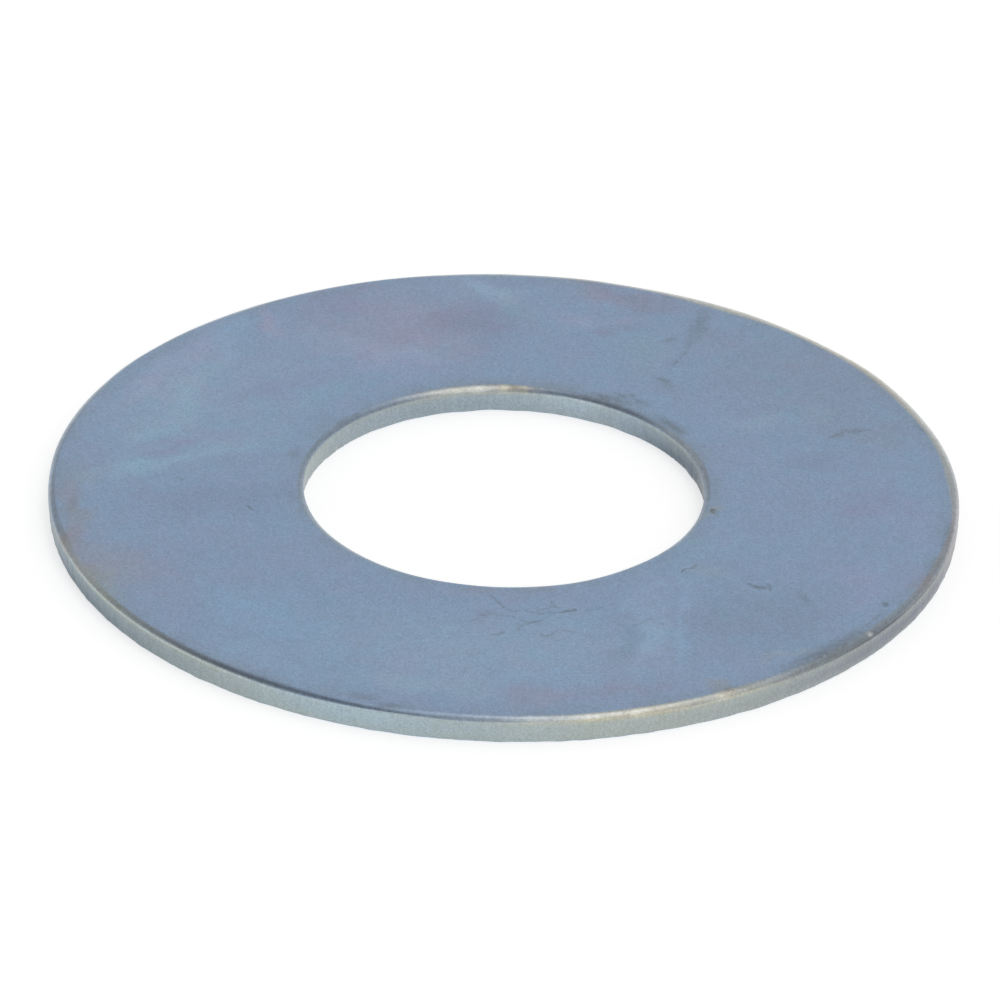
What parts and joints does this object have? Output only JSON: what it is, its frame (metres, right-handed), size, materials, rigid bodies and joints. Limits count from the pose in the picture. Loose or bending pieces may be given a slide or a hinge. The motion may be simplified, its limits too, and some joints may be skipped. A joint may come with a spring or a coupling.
{
  "type": "flat washer",
  "caption": "Round flat steel washer with a plain central bolt hole, punched edges rounded on the top face, and a blue-passivated zinc finish.",
  "frame": {"origin": "centre of the bolt hole on the bottom bearing face", "axes": "+Z along the hole's axis, towards the face with the rounded punched edges; X and Y lie in the bearing face"},
  "size_m": [0.05, 0.05, 0.0015],
  "materials": {
    "zinc_plate": "blue-passivated zinc plate over stamped sheet steel, satin, with faint iridescence"
  },
  "bodies": {
    "root": {"flat_washer": "zinc_plate"}
  },
  "joints": []
}
